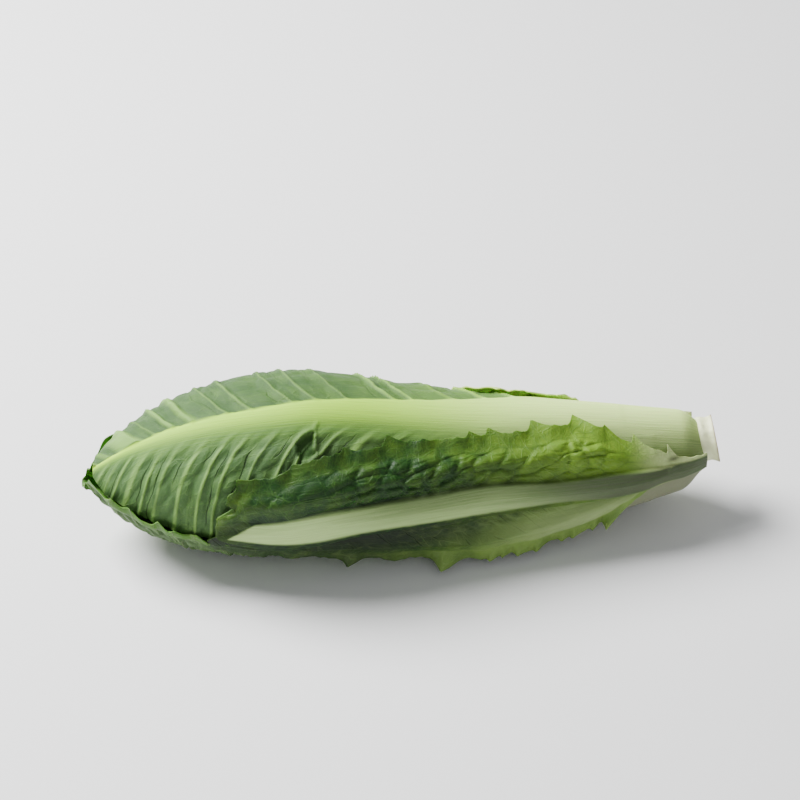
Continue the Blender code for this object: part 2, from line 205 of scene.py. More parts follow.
class Pile:
    """The outside of all the leaves laid so far: a radius at each section and direction."""

    def __init__(self, kept_nodes):
        self.radius = np.zeros((ROW_COUNT, len(DIRECTIONS)))
        corners, faces = [], []
        for node in kept_nodes:
            mesh = node.data
            faces += [[v + len(corners) for v in face.vertices] for face in mesh.polygons]
            corners += [v.co for v in mesh.vertices]
        tree = BVHTree.FromPolygons(corners, faces)
        sparse = DIRECTIONS[::4]
        for row, share in enumerate(SHARES):
            axis = Vector(place(share, 0.0, 0.0))
            starts = place(share, sparse, np.full(len(sparse), FAR))
            found = [self.seen_from(tree, Vector(start), axis) for start in starts]
            self.radius[row] = np.interp(DIRECTIONS, sparse, found, period=360.0)

    @staticmethod
    def seen_from(tree, start, axis):
        """The radius at which something lies, looking from far outside to the axis."""
        hit = tree.ray_cast(start, axis - start, (axis - start).length)[0]
        return FAR * (hit - axis).length / (start - axis).length if hit else 0.0

    def envelope(self, rows, directions, reach=5):
        """A smooth surface over the pile, at the places of a leaf's grid."""
        shifts = range(-2 * reach, 2 * reach + 1, 2)
        top = np.max([np.roll(self.radius, shift, axis=1) for shift in shifts], axis=0)
        top = self.along(top, reach, np.maximum)
        eased = np.mean([np.roll(top, shift, axis=1) for shift in shifts], axis=0)
        eased = self.along(eased, reach, np.add) / (2 * reach + 1)
        return np.array([np.interp(directions[k], DIRECTIONS, eased[row], period=360.0)
                         for k, row in enumerate(rows)])

    @staticmethod
    def along(field, reach, combine):
        """Combines each section with its neighbours."""
        padded = np.pad(field, ((reach, reach), (0, 0)), mode="edge")
        total = padded[:len(field)].copy()
        for shift in range(1, 2 * reach + 1):
            total = combine(total, padded[shift:shift + len(field)])
        return total

    def cover(self, rows, directions, radii):
        """Adds a leaf's outside to the pile."""
        for k, row in enumerate(rows):
            start, end = directions[k, 0], directions[k, -1]
            steps = np.arange(math.ceil(start / DIRECTION_STEP), math.floor(end / DIRECTION_STEP) + 1)
            heights = np.interp(steps * DIRECTION_STEP, directions[k], radii[k])
            columns = steps % len(DIRECTIONS)
            self.radius[row, columns] = np.maximum(self.radius[row, columns], heights)


# --- Leaves ---

class Leaf:
    """The grid of one leaf: rows are cross-sections from its tip, columns run from its low edge
    over its rib to its high edge."""

    def __init__(self, name, span, low, rib, high, columns, fullness, tip=0.05, teeth=(None, None)):
        self.name = name
        self.span = span
        self.rows = np.nonzero((SHARES >= span[0]) & (SHARES <= span[1]))[0]
        self.share = SHARES[self.rows][:, None]
        low_count, high_count = columns
        low_side, high_side = np.linspace(-1, 0, low_count + 1), np.linspace(0, 1, high_count + 1)
        self.u = np.concatenate((low_side, high_side[1:]))
        self.grown = (self.share - span[0]) / (span[1] - span[0])  # 0 at the tip, 1 at the base
        self.radius = head_radius(self.share) * fullness
        self.degrees = np.degrees(1.0 / np.maximum(self.radius, 0.004))  # for a metre round the head
        low, rib, high = (smooth_curve(knots)(self.share) for knots in (low, rib, high))
        self.spread(low, rib, high, tip)
        self.grow_teeth(*teeth)
        self.across = (self.direction - rib) / self.degrees  # metres from the rib's middle
        self.low_edge = self.across - self.across[:, :1]  # metres from each edge
        self.high_edge = self.across[:, -1:] - self.across
        self.edge = np.where(self.u < 0, self.low_edge, self.high_edge)
        self.along = self.share * HEAD_LENGTH + 0 * self.across
        self.marks = {}  # what the material reads at each place

    def spread(self, low, rib, high, tip):
        """Sets the direction of each column, between two edges that close in at the leaf's tip."""
        closing = np.clip((self.share - self.span[0]) / tip, 0.0, 1.0)
        closing = TIP_WIDTH + (1 - TIP_WIDTH) * np.sqrt(1 - (1 - closing) ** 2)
        edge = np.where(self.u < 0, rib - (rib - low) * closing, rib + (high - rib) * closing)
        self.direction = rib + (edge - rib) * np.abs(self.u)
        width = np.where(self.u < 0, rib - low, high - rib)
        self.inward = width * (1 - np.abs(self.u)) * closing / self.degrees  # as if it had no teeth

    def grow_teeth(self, *lines):
        """Draws the low and the high edge out into teeth that lean towards the leaf's tip."""
        low, high = (line(self.share) if line else 0.0 for line in lines)
        reach = np.where(self.u < 0, low, high) * ramp(TEETH_START, 1.0, np.abs(self.u))
        self.direction = self.direction + np.sign(self.u) * reach * self.degrees
        self.lean = TOOTH_LEAN * reach

    def ramp(self, start, end):
        """Rises smoothly from 0 at one share of the head's length to 1 at another."""
        return ramp(start, end, self.share)

    def rough(self, scale, seed):
        """Rough noise on the leaf. The scale is how many features there are to a metre."""
        return rough(self.along * scale, self.across * scale, seed)

    def frill(self, length, wander, scale, seed):
        """A wave along the leaf, from -1 to 1, that keeps changing its length."""
        return np.sin(self.along / length + wander * rough(self.along * scale, 0 * self.along, seed))

    def side(self, low, high):
        """A value that differs on the two sides of the rib."""
        return np.where(self.across < 0, low, high)

    def rib_mask(self, low_width, low_fade, high_width=None, high_fade=None):
        """1 on the rib and 0 on the blade. The widths are its half widths along the leaf. The high
        side is like the low side where it isn't given."""
        low, high = (smooth_curve(width)(self.share) for width in (low_width, high_width or low_width))
        half, fade = self.side(low, high), self.side(low_fade, high_fade or low_fade)
        return 1 - ramp(half * (1 - fade), half * (1 + fade), np.abs(self.across))

    def veins(self, counts, crowding, sweep, bend, width, seed):
        """Side veins that leave the rib towards the tip and bend outwards.

        counts is how many there are on the low and on the high side. Gives a swelling along each
        vein, a crease beside it, a phase that is whole on each vein, and the rib's distance."""
        distance = np.abs(self.across)
        from_tip = self.along - self.span[0] * HEAD_LENGTH
        length = (self.span[1] - self.span[0]) * HEAD_LENGTH
        back = from_tip + sweep * (0.6 + 1.2 * from_tip / length) * (1 - np.exp(-distance / bend))
        part = np.clip(back / length, 0.0, 1.6)
        count, side = self.side(*counts), self.side(1, 2).astype(np.int64)
        phase = count * part**crowding
        spacing = length / (count * crowding * np.maximum(part, 0.05) ** (crowding - 1))
        phase = phase + VEIN_WANDER * noise(0.9 * phase, side * 3.5, seed)
        phase = phase + VEIN_WOBBLE / spacing * self.rough(45, seed + 2)
        number = np.round(phase).astype(np.int64)
        size = 0.35 + 0.65 * scatter(number, side, seed)
        creased = scatter(number, side, seed + 1)
        thin = width * size * (0.7 + np.exp(-distance / 0.012))
        off = (phase - number) * spacing
        swelling = size * hump(off, VEIN_HALF_WIDTH)
        crease = creased * hump(off - CREASE_OFF, CREASE_HALF_WIDTH)
        self.marks.update(
            phase=phase, sharp=spacing / thin, spacing=spacing * 1000, vein=size, crease=creased)
        return swelling, crease, phase, distance

    def lay(self, pile, sheet, lift):
        """Lays the leaf on the pile: lift is how far its outside stands off where it is free."""
        under = pile.envelope(self.rows, self.direction) + SHEET_GAP
        base = self.span[1]
        drawn_in = 1 - BASE_DRAWN_IN * self.ramp(base - BASE_LENGTH, base) ** 1.4
        aim = self.radius * drawn_in + lift - sheet
        inside = 0.5 * (aim + under + np.sqrt((aim - under) ** 2 + SETTLING**2))
        self.outside = self.pressed(inside + sheet)
        self.inside = np.minimum(inside, self.outside - 0.4 * SHEET)

    def pressed(self, radius):
        """Keeps a leaf from going below the surface that the head rests on."""
        up = section_vector(self.share, self.direction)[1]
        limit = np.where(up < -0.05, axis_height(self.share) / np.maximum(-up, 0.05), np.inf)
        return np.minimum(radius, limit)

    def cover(self, pile):
        pile.cover(self.rows, self.direction, self.outside)

    def points(self, radius, off=0.0, lowest=0.0):
        """The places of the grid's points. off moves them by metres in (x, y, z), but not below lowest."""
        points = place(self.share + 0 * radius, self.direction, radius) + off
        points[..., 0] -= self.lean
        points[..., 2] = np.maximum(points[..., 2], lowest)
        return points


def teeth_line(places, seed, small, spacing, fade=(1.1, 1.0)):
    """How far a toothed edge reaches out. places has a share, reach and half width for each large
    tooth; small and spacing are for those between. They fade out from one share to the other."""
    def reach(share):
        total = np.zeros(share.shape)
        for centre, size, half in places:
            ahead = (share - centre) * HEAD_LENGTH
            t = np.clip(1 - np.abs(ahead) / (half * np.where(ahead < 0, 0.75, 1.35)), 0.0, 1.0)
            total = np.maximum(total, size * t**1.8)
        phase = share * HEAD_LENGTH / spacing
        number = np.floor(phase).astype(np.int64)
        centre = 0.3 + 0.4 * scatter(number, 0 * number, seed)
        size = small * (0.3 + 0.7 * scatter(number, 0 * number, seed + 1))
        t = np.clip(1 - np.abs(phase - number - centre) / 0.5, 0.0, 1.0)
        return np.maximum(total, size * t**1.6) * ramp(*fade, share)
    return reach


# --- Meshes ---

def sheet_mesh(leaf, outer, inner):
    """A closed sheet between two grids of points."""
    rows, columns = outer.shape[:2]
    number = np.arange(rows * columns).reshape(rows, columns)
    a, b, c, d = number[:-1, :-1], number[:-1, 1:], number[1:, 1:], number[1:, :-1]
    top = np.stack([a, d, c, b], axis=-1).reshape(-1, 4)
    bottom = top[:, ::-1] + rows * columns
    ring = np.concatenate((number[0, :-1], number[:-1, -1], number[-1, :0:-1], number[:0:-1, 0]))
    after = np.roll(ring, -1)
    wall = np.stack([ring, after, after + rows * columns, ring + rows * columns], axis=-1)
    faces = np.concatenate((top, bottom, wall))
    points = np.concatenate((outer.reshape(-1, 3), inner.reshape(-1, 3)))
    mesh = bpy.data.meshes.new(leaf.name)
    mesh.from_pydata(points, [], faces.tolist())
    mesh.polygons.foreach_set("use_smooth", np.ones(len(faces), bool))
    return mesh


LEAF_MARKS = ("rib", "shade", "vein", "crease", "phase", "sharp", "spacing", "puff", "margin", "grown",
              "hole", "dim", "base")


def mark(mesh, name, outer, inner, kind="FLOAT", field="value"):
    """Stores what the material reads at each point of the two sides of a sheet."""
    values = np.concatenate((outer.ravel(), inner.ravel())).astype(np.float32)
    mesh.attributes.new(name, kind, "POINT").data.foreach_set(field, values)


def link(thing):
    bpy.context.scene.collection.objects.link(thing)
    return thing


def add_leaf(leaf, material, lift=0.0, off=0.0, upper_side_out=False):
    """Makes a leaf's object. lift raises it from where it was laid, and off moves it."""
    outer = leaf.points(leaf.outside + lift, off)
    inner = leaf.points(leaf.inside + lift, off, 0.5 * SHEET)
    mesh = sheet_mesh(leaf, outer, inner)
    zero = np.zeros(leaf.across.shape)
    for name in LEAF_MARKS:
        values = leaf.marks.get(name, zero) + zero
        mark(mesh, name, values, values)
    turned = leaf.marks.get("turned", zero)
    mark(mesh, "upper", 1 - turned if upper_side_out else turned, zero + float(not upper_side_out))
    plane = (leaf.along * 100, leaf.across * 100)
    strip = (leaf.marks["phase"], np.abs(leaf.across) * 100 + 50 * (leaf.across > 0))
    for name, (x, y) in (("plane", plane), ("strip", strip)):
        pair = np.stack([x, y, 0 * y], axis=-1)
        mark(mesh, name, pair, pair, "FLOAT_VECTOR", "vector")
    mesh.materials.append(material)
    piece = link(bpy.data.objects.new(leaf.name + "_detail", mesh))
    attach(piece, "root")
    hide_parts(leaf.name)


# --- Materials ---

class Shader:
    """Builds a material's nodes, a line each. Inputs are numbers, colours or other nodes' outputs."""

    def __init__(self, name):
        self.material = bpy.data.materials.new(name)
        self.material.use_nodes = True
        self.tree = self.material.node_tree
        self.surface = self.tree.nodes["Principled BSDF"]

    def feed(self, socket, value):
        if isinstance(value, bpy.types.NodeSocket):
            self.tree.links.new(value, socket)
        elif isinstance(value, tuple) and len(value) == 3 and socket.type == "RGBA":
            socket.default_value = (*value, 1.0)
        else:
            socket.default_value = value

    def add(self, kind, inputs, output=0, **settings):
        """Adds a node with its settings and its inputs, by number or name, and gives an output."""
        node = self.tree.nodes.new("ShaderNode" + kind)
        for name, value in settings.items():
            setattr(node, name, value)
        for socket, value in inputs.items():
            self.feed(node.inputs[socket], value)
        return node.outputs[output]

    def mark(self, name, output="Fac"):
        return self.add("Attribute", {}, output, attribute_name=name)

    def math(self, operation, a, b=0.0):
        return self.add("Math", {0: a, 1: b}, operation=operation)

    def times(self, first, *others):
        for other in others:
            first = self.math("MULTIPLY", first, other)
        return first

    def plus(self, first, *others):
        for other in others:
            first = self.math("ADD", first, other)
        return first

    def inverse(self, share):
        return self.math("SUBTRACT", 1.0, share)

    def from_whole(self, value):
        """How far a value is from the nearest whole number."""
        return self.math("SUBTRACT", value, self.math("ROUND", value))

    def rise(self, value, low, high, start=0.0, end=1.0):
        """From start to end as the value goes from low to high."""
        inputs = dict(enumerate((value, low, high, start, end)))
        return self.add("MapRange", inputs, interpolation_type="SMOOTHSTEP")

    def mix(self, share, a, b):
        return self.add("Mix", {0: share, 6: a, 7: b}, 2, data_type="RGBA")

    def stretched(self, vector, scale):
        return self.add("Mapping", {"Vector": vector, "Scale": scale})

    def noise(self, vector, scale, detail):
        return self.add("TexNoise", {"Vector": vector, "Scale": scale, "Detail": detail})

    def warped(self, vector, scale, amount):
        """The vector, pushed about by noise, so that what is drawn on it isn't straight."""
        push = self.add("TexNoise", {"Vector": vector, "Scale": scale}, "Color")
        return self.add("VectorMath", {0: push, 1: 3 * (amount,), 2: vector}, operation="MULTIPLY_ADD")

    def chance(self, number):
        """A random number from 0 to 1 for each whole number."""
        return self.add("TexWhiteNoise", {"W": number}, "Value", noise_dimensions="1D")

    def net(self, vector, scale, width):
        """A net of thin lines: 1 on the lines."""
        inputs = {"Vector": vector, "Scale": scale}
        border = self.add("TexVoronoi", inputs, "Distance", feature="DISTANCE_TO_EDGE")
        return self.rise(border, 0.0, width, 1.0, 0.0)

    def bump(self, height, distance):
        return self.add("Bump", {"Strength": 1.0, "Distance": distance, "Height": height})

    def finish(self, colour, roughness, normal, specular=0.5, flesh=None):
        """Gives the surface its inputs. flesh is how much light goes in, how far it goes in red,
        green and blue, and the depth in metres."""
        weight, radius, depth = flesh or (0.0, (1.0, 0.2, 0.1), 0.05)
        values = {
            "Base Color": colour, "Roughness": roughness, "Normal": normal,
            "Specular IOR Level": specular, "Subsurface Weight": weight,
            "Subsurface Radius": radius, "Subsurface Scale": depth}
        for name, value in values.items():
            self.feed(self.surface.inputs[name], value)
        return self.material


BLACK = (0.0, 0.0, 0.0)
# Painted shadow: dark green drawn in the torn hole, whose sheet is only pushed in, for the shade seen through
# it.
HOLE_SHADOW_COLOUR = (0.04, 0.095, 0.022)

# Colours of a leaf: its blade from the dark tip to the light base, on its outer and upper sides.
GREEN_LEAF = dict(
    outer_dark=(0.056, 0.118, 0.036), outer_light=(0.15, 0.29, 0.06),
    upper_dark=(0.006, 0.034, 0.003), upper_light=(0.15, 0.27, 0.02),
    vein=(0.2, 0.36, 0.08), rib_tip=(0.4, 0.72, 0.035), rib_base=(0.7, 0.93, 0.29),
    shaded_tip=(0.075, 0.165, 0.036), shaded_base=(0.17, 0.225, 0.085), base=(0.46, 0.54, 0.23))
# The front leaf's rib_base is painted shade: its pale rib darkens towards the base as shade does.
FRONT_LEAF = dict(
    GREEN_LEAF, vein=(0.07, 0.18, 0.028),
    rib_tip=(0.46, 0.64, 0.24), rib_base=(0.11, 0.13, 0.072),
    shaded_tip=(0.1, 0.14, 0.05), shaded_base=(0.06, 0.08, 0.036))
# The bottom leaf's rib_base is painted shade, for its base that lies in shade underneath.
BOTTOM_LEAF = dict(
    GREEN_LEAF, outer_dark=(0.09, 0.145, 0.062), upper_dark=(0.07, 0.165, 0.026),
    vein=(0.19, 0.26, 0.12),
    rib_tip=(0.38, 0.46, 0.24), rib_base=(0.23, 0.24, 0.155))
LIGHT_LEAF = dict(
    GREEN_LEAF, outer_dark=(0.16, 0.33, 0.04), outer_light=(0.48, 0.68, 0.12),
    upper_dark=(0.018, 0.062, 0.006), upper_light=(0.26, 0.4, 0.08),
    vein=(0.2, 0.3, 0.08), rib_tip=(0.2, 0.3, 0.07), rib_base=(0.34, 0.42, 0.2))
# The far leaf's bright upper colours are partly its own light green and partly painted light, for light that
# shines through its thin edge.
FAR_LEAF = dict(
    LIGHT_LEAF, outer_dark=(0.11, 0.24, 0.028), outer_light=(0.23, 0.4, 0.045),
    upper_dark=(0.42, 0.62, 0.11), upper_light=(0.6, 0.78, 0.2))
HEART_LEAF = dict(
    GREEN_LEAF, outer_dark=(0.42, 0.56, 0.15), outer_light=(0.7, 0.74, 0.36),
    upper_dark=(0.42, 0.56, 0.12), upper_light=(0.72, 0.76, 0.36),
    rib_tip=(0.74, 0.8, 0.46), rib_base=(0.82, 0.84, 0.62))


def vein_lines(s, plane):
    """Where each point lies between two side veins gives a pale line on the vein, a fine crease that runs
    along with it, drawn dark with painted shade, and how far off the vein the point is."""
    phase = s.mark("phase")
    off = s.times(s.from_whole(phase), s.mark("sharp"))
    near = s.rise(s.math("ABSOLUTE", off), 0.25, 1.6, 1.0, 0.0)
    line = s.times(s.mark("vein"), s.inverse(s.mark("base")), near)
    wiggle = s.rise(s.noise(plane, 1.2, 0.5), 0.3, 0.7, -0.08, 0.08)
    beside = s.math("ABSOLUTE", s.from_whole(s.plus(phase, wiggle, 0.36)))
    thin = s.rise(s.times(beside, s.mark("spacing")), 0.1, 0.5, 1.0, 0.0)
    broken = s.rise(s.noise(s.stretched(plane, (1.0, 0.35, 1.0)), 0.9, 1.0), 0.46, 0.56)
    return line, s.times(s.mark("crease"), thin, broken), off


def veinlets(s, plane, mottle, bare):
    """A net between the side veins with a finer one in it, and a fringe along the margin."""
    strip = s.stretched(s.mark("strip", "Vector"), (1.0, 1.3, 1.0))
    coarse = s.net(s.warped(strip, 1.6, 0.5), 1.5, 0.07)
    fine = s.net(s.warped(strip, 3.0, 0.3), 4.2, 0.1)
    coarse = s.times(coarse, s.rise(mottle, 0.35, 0.6, 0.35, 1.0))
    netting = s.math("MAXIMUM", coarse, s.times(fine, 0.4))
    fringe = s.net(s.stretched(s.warped(plane, 2.0, 0.25), (3.2, 0.9, 1.0)), 1.0, 0.1)
    return s.times(bare, s.math("MAXIMUM", netting, s.times(fringe, s.mark("margin"), 0.55)))


def blade_colour(s, colours, mottle, bare, off):
    """The blade's colour, darker towards the tip, with painted shade in the dips between blisters and painted
    light on their crowns, and its dark colour alone. On the outer side its tone changes at each vein, partly
    at random and partly by painted light and shade, lighter on one side of the vein and darker on the other."""
    grown, upper, puff = s.mark("grown"), s.mark("upper"), s.mark("puff")
    outer = s.inverse(upper)
    # Painted light and shade: lighter on one side of each vein, darker on the other.
    vein_side_shade = s.rise(off, -5.0, 5.0, 0.08, -0.05)
    strip_tone = s.rise(s.chance(s.math("FLOOR", s.mark("phase"))), 0.0, 1.0, -0.05, 0.05)
    age = s.plus(grown, s.rise(mottle, 0.3, 0.7, -0.14, 0.14),
                 s.times(vein_side_shade, outer), s.times(strip_tone, outer))
    dark = s.mix(upper, colours["outer_dark"], colours["upper_dark"])
    light = s.mix(upper, colours["outer_light"], colours["upper_light"])
    # Painted shade in the dips between blisters, and painted light on their crowns.
    dip_shade = s.times(s.rise(puff, 0.0, 0.4, 0.5, 0.0), bare)
    crest_light = s.times(s.rise(puff, 0.5, 1.0, 0.0, 0.3), s.rise(grown, 0.0, 0.5, 0.15, 1.0))
    blade = s.mix(dip_shade, s.mix(age, dark, light), dark)
    blade = s.mix(crest_light, blade, light)
    return s.mix(s.mark("base"), blade, colours["base"]), dark


def rib_colour(s, colours, streaks):
    """The rib's colour: streaked along its length, and darker on its shaded side."""
    grown = s.mark("grown")
    pale = s.mix(s.rise(grown, 0.15, 0.95), colours["rib_tip"], colours["rib_base"])
    shaded = s.mix(s.rise(grown, 0.3, 0.8), colours["shaded_tip"], colours["shaded_base"])
    pale = s.mix(s.times(s.mark("shade"), s.rise(streaks, 0.2, 0.8, 0.8, 1.0)), pale, shaded)
    return s.mix(s.rise(streaks, 0.35, 0.75, 0.0, 0.18), pale, colours["vein"])


def leaf_material(name, colours, specular, netted):
    """A leaf's skin: mottled blade, net of veinlets, pale veins and rib, glossier upper side."""
    s = Shader(name)
    plane, rib = s.mark("plane", "Vector"), s.mark("rib")
    bare = s.inverse(rib)
    line, crease, off = vein_lines(s, plane)
    mottle = s.noise(plane, 1.1, 5.0)
    netting = veinlets(s, plane, mottle, bare)
    streaks = s.noise(s.stretched(plane, (0.25, 9.0, 1.0)), 1.6, 4.0)

    blade, dark = blade_colour(s, colours, mottle, bare, off)
    blade = s.mix(s.times(netting, netted), blade, colours["vein"])
    # Painted shade: the blade darkens towards black where this mark says shade falls on it.
    blade = s.mix(s.mark("dim"), blade, s.mix(0.12, BLACK, blade))
    # Painted shade darkens the creases, which the bump also sinks.
    blade = s.mix(s.times(crease, 0.8), blade, s.mix(0.35, BLACK, dark))
    vein_colour = s.mix(s.rise(s.mark("grown"), 0.1, 0.9), colours["vein"], colours["rib_tip"])
    skin = s.mix(s.times(line, 0.85), blade, vein_colour)
    skin = s.mix(rib, skin, rib_colour(s, colours, streaks))
    # Painted shadow in the torn hole.
    skin = s.mix(s.mark("hole"), skin, HOLE_SHADOW_COLOUR)

    grain = s.noise(plane, 22.0, 3.0)
    height = s.plus(s.times(netting, 0.12), s.times(grain, 0.1),
                    s.times(streaks, rib, 0.22), s.times(line, bare, 0.4))
    height = s.math("SUBTRACT", height, s.times(crease, bare, 0.45))
    roughness = s.rise(s.mark("upper"), 0.0, 1.0, 0.62, 0.5)
    return s.finish(skin, roughness, s.bump(height, 0.001), specular, (0.15, (0.5, 1.0, 0.25), 0.002))


def cad_leaf_material(name, colours):
    """For the CAD's own inner leaves, whose mesh carries no marks."""
    s = Shader(name)
    coordinates = s.add("TexCoord", {}, "Object")
    grown = s.rise(s.add("SeparateXYZ", {0: coordinates}), -0.11, 0.06)
    mottle = s.rise(s.noise(coordinates, 90.0, 4.0), 0.3, 0.7, -0.2, 0.2)
    blade = s.mix(s.plus(grown, mottle), colours["outer_dark"], colours["outer_light"])
    netting = s.net(s.stretched(coordinates, (1.0, 1.6, 1.6)), 150.0, 0.07)
    skin = s.mix(s.times(netting, 0.4), blade, colours["rib_tip"])
    return s.finish(skin, 0.5, s.bump(netting, 0.0003))


def stem_material():
    """White flesh, browned where it was cut: marks give the cut face and its rim."""
    s = Shader("stem_flesh")
    coordinates = s.add("TexCoord", {}, "Object")
    rim, cut, ring = s.mark("rim"), s.mark("cut"), s.mark("ring")
    blotches = s.noise(coordinates, 260.0, 5.0)
    flesh = s.mix(s.rise(blotches, 0.35, 0.75, 0.0, 0.4), (0.86, 0.9, 0.56), (0.74, 0.78, 0.42))
    face = s.mix(s.rise(blotches, 0.3, 0.7), (0.56, 0.53, 0.34), (0.42, 0.36, 0.2))
    face = s.mix(s.times(ring, 0.5), face, (0.36, 0.3, 0.15))
    skin = s.mix(cut, flesh, face)
    skin = s.mix(s.times(rim, s.rise(blotches, 0.2, 0.6, 0.55, 1.0)), skin, (0.21, 0.11, 0.05))
    return s.finish(skin, 0.55, s.bump(blotches, 0.0004), flesh=(0.2, (1.0, 1.0, 0.5), 0.003))


# --- The leaves, from the inside outwards ---

def plump(phase, distance, length, seed):
    """Blisters between the side veins: 0 at their borders, 1 well inside them."""
    return ramp(0.0, 0.55, cells(phase * 1.6, distance / length, seed))


def rib_ridge(leaf, mask, thickness):
    """The rib's extra thickness: less towards the tip, and rounded off at the base."""
    base_end = ramp(0.0, 0.03, leaf.span[1] - leaf.share)
    edge_thins = ramp(0.0, 0.012, leaf.edge)
    return mask * thickness * (0.12 + 0.88 * leaf.grown) * (0.4 + 0.6 * base_end) * edge_thins


def dome(border, width):
    """A smooth swelling from the border of a cell inwards."""
    return 1 - (1 - np.clip(border / width, 0.0, 1.0)) ** 2


def back_lower_leaf(pile, material):
    """The outer leaf that closes the back, underneath."""
    leaf = Leaf(
        "back_lower_leaf", (0.05, 0.93),
        low=[(0.05, 190), (0.2, 170), (0.5, 172), (0.75, 200), (0.93, 208)],
        rib=[(0, 238), (1, 238)],
        high=[(0.05, 275), (0.2, 300), (0.5, 300), (0.75, 285), (0.93, 280)],
        columns=(34, 34), fullness=0.88)
    rib = leaf.rib_mask([(0, 0.002), (1, 0.01)], 0.5)
    swelling, crease, _, _ = leaf.veins((17, 17), 0.9, 0.035, 0.02, 0.0006, 3)
    leaf.marks.update(rib=rib, puff=0.5, grown=leaf.grown)
    ridge = rib_ridge(leaf, rib, 0.002)
    leaf.lay(pile, SHEET + ridge, 0.4 * ridge + (1 - rib) * (0.0008 * swelling - 0.0006 * crease))
    leaf.cover(pile)
    add_leaf(leaf, material)


def torn_hole(leaf):
    """The ragged hole in the top leaf: 1 in the hole, and 1 on the rim that curls up round it."""
    from_tear = leaf.share - TEAR_SHARE
    along = np.abs(from_tear) * HEAD_LENGTH / TEAR_HALF_LENGTH
    across = np.abs(leaf.direction - TEAR_DIRECTION - TEAR_SLANT * from_tear) / TEAR_HALF_TURN
    tear = np.maximum(along, across) + 0.3 * leaf.rough(420, 91)
    hole = ramp(1.0, 0.8, tear)
    curled = hump(tear - 1.25, 0.25) * (0.4 + 0.6 * ramp(-0.004, 0.004, from_tear))
    return hole, curled


def top_leaf(pile, material):
    """The big leaf over the top, its outer side out: strong veins swept back to the tip."""
    leaf = Leaf(
        "top_leaf", (0.02, 0.97),
        low=[(0.02, 16), (0.04, 10), (0.09, -3), (0.175, -14), (0.45, -12), (0.7, 8), (0.96, 14)],
        rib=[(0.02, 67.5), (0.08, 70), (0.3, 70), (0.45, 72), (0.6, 74), (0.78, 76), (0.96, 68)],
        high=[(0.02, 150), (0.05, 164), (0.09, 171), (0.2, 171), (0.45, 160), (0.6, 134),
              (0.75, 126), (0.96, 128)],
        columns=(88, 58), fullness=0.985, tip=0.03)
    low_half = [(0.02, 0.0016), (0.08, 0.0032), (0.13, 0.0058), (0.28, 0.007), (0.4, 0.0072),
                (0.53, 0.01), (0.62, 0.015), (0.72, 0.032), (0.8, 0.05)]
    high_half = [(0.02, 0.0012), (0.08, 0.0022), (0.13, 0.004), (0.28, 0.0075), (0.42, 0.0108),
                 (0.6, 0.0155), (0.7, 0.022), (0.78, 0.04)]
    rib = leaf.rib_mask(low_half, 0.85, high_half, 0.1)
    half = leaf.side(np.minimum(smooth_curve(low_half)(leaf.share), 0.012),
                     np.minimum(smooth_curve(high_half)(leaf.share), 0.016))
    slope = ramp(0.85, -0.75, leaf.across / half)  # 0 at the rib's upper edge, 1 at its lower
    swelling, crease, phase, distance = leaf.veins((25, 19), 0.74, 0.036, 0.019, 0.00085, 11)
    puff = plump(phase, distance, 0.011, 21)
    hole, curled = torn_hole(leaf)
    veined = (1 - 0.75 * rib) * leaf.ramp(0.74, 0.58)
    leaf.marks.update(
        rib=rib, puff=0.45 + 0.35 * puff, grown=leaf.ramp(0.2, 1.0), hole=hole, shade=slope,
        # painted shade: over the low side beyond the rib's edge where the front leaf shadows it, except near
        # the tip, and lightly over the high side
        dim=leaf.side(0.45 * leaf.ramp(0.24, 0.38) * ramp(0.004, 0.014, distance), 0.15),
        sharp=leaf.marks["sharp"] * leaf.side(0.65, 0.42),
        vein=leaf.marks["vein"] * veined * leaf.side(0.7, 1.0),
        crease=leaf.side(1.0, 0.35) * (1 - rib) * leaf.ramp(0.7, 0.5)
        * ramp(0.005, 0.01, distance))
    ridge = rib_ridge(leaf, rib, 0.0056) * (1 - 0.65 * slope)
    bare = (1 - rib) * leaf.ramp(0.9, 0.65)
    strips = np.sin(2 * np.pi * phase + 0.6) * leaf.side(0.00015, 0.0001)
    away = 0.35 + 0.65 * ramp(0.004, 0.016, distance)
    relief = bare * (leaf.side(0.0005 * away, 0.0019) * swelling - 0.0005 * crease * away + strips
                     + 0.0006 * (puff - 0.5) + 0.0004 * rough(phase * 2.2, distance * 90, 5))
    relief = relief - 0.0012 * hole + 0.0011 * curled
    leaf.lay(pile, SHEET + ridge, RIB_PROUD * ridge + relief)
    leaf.outside = leaf.outside - 0.0012 * hole
    leaf.inside = leaf.inside - 0.0012 * hole
    leaf.cover(pile)
    add_leaf(leaf, material)


FAR_TEETH = teeth_line(
    [(0.62, 0.002, 0.006), (0.7, 0.0025, 0.005)], 71, 0.0022, 0.006, fade=(0.8, 0.76))


